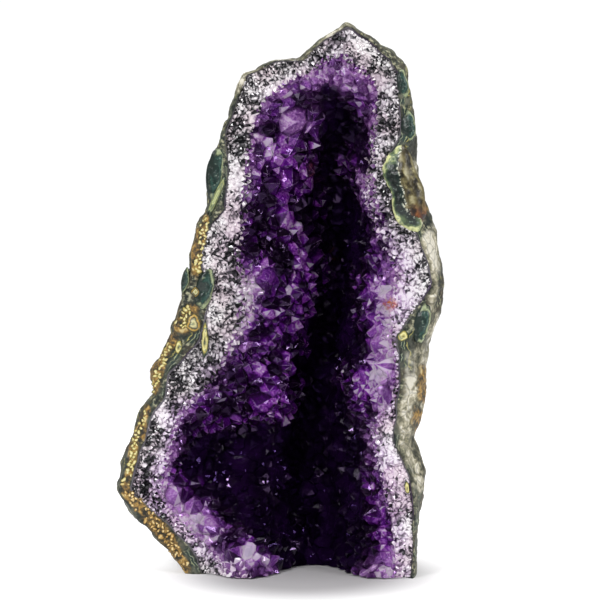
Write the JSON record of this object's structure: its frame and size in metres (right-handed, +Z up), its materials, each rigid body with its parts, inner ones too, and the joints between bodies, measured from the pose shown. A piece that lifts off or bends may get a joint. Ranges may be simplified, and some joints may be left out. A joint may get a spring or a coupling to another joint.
{
  "type": "amethyst cluster",
  "caption": "Standing piece of amethyst geode, open at the front, sawn flat underneath: purple crystals line a deep hollow inside a rind of agate and basalt.",
  "frame": {"origin": "middle of the bottom of the object's box, on the sawn base", "axes": "+Z up, -Y towards the open front with the crystals, +X to the right as seen from the front"},
  "size_m": [0.1082, 0.0748, 0.1799],
  "materials": {
    "rock": "weathered basalt with an agate rim, dull and rough",
    "amethyst": "clear purple quartz crystals, glossy faces"
  },
  "bodies": {
    "root": {"rock_shell": "rock", "crystal_crust": "amethyst"}
  },
  "joints": []
}
